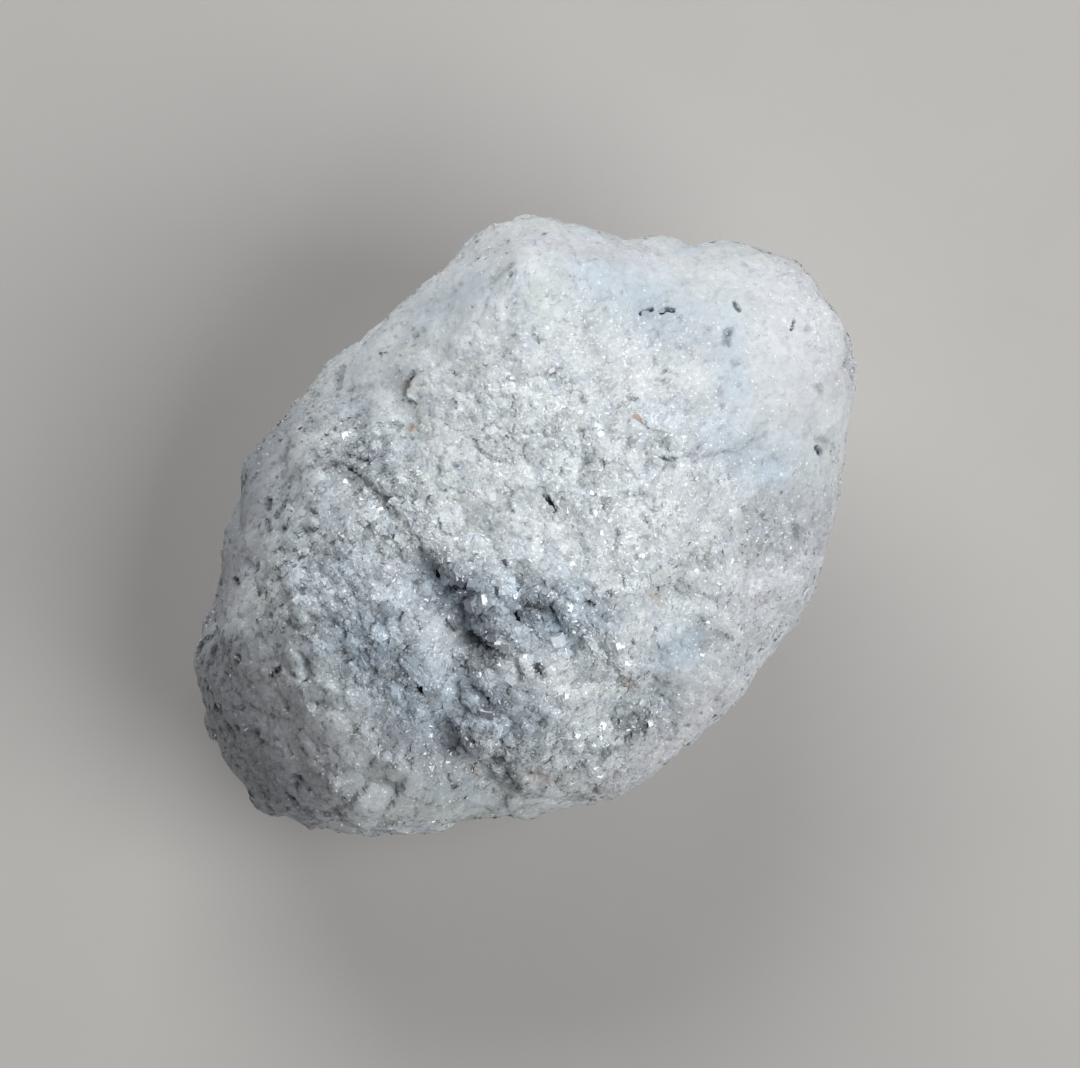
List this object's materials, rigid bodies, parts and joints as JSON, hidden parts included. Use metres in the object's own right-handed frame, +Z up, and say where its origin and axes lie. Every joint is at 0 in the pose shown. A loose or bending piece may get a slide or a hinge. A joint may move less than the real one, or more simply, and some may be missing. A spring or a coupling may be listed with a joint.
{
  "type": "rough diamond",
  "caption": "Small rounded rough diamond of cloudy grey-white fine-grained stone, with worn slopes, a hollow on its crown and a flat spot to rest on.",
  "frame": {"origin": "centre of the stone's box on the level of the flat spot that it rests on", "axes": "+X along the stone's longest way, towards its blunt bright end; +Z up from the flat spot through the crown"},
  "size_m": [0.013, 0.009, 0.0077],
  "materials": {
    "diamond": "rough, sugary, glinting grain"
  },
  "bodies": {
    "root": {"rough_diamond": "diamond"}
  },
  "joints": []
}
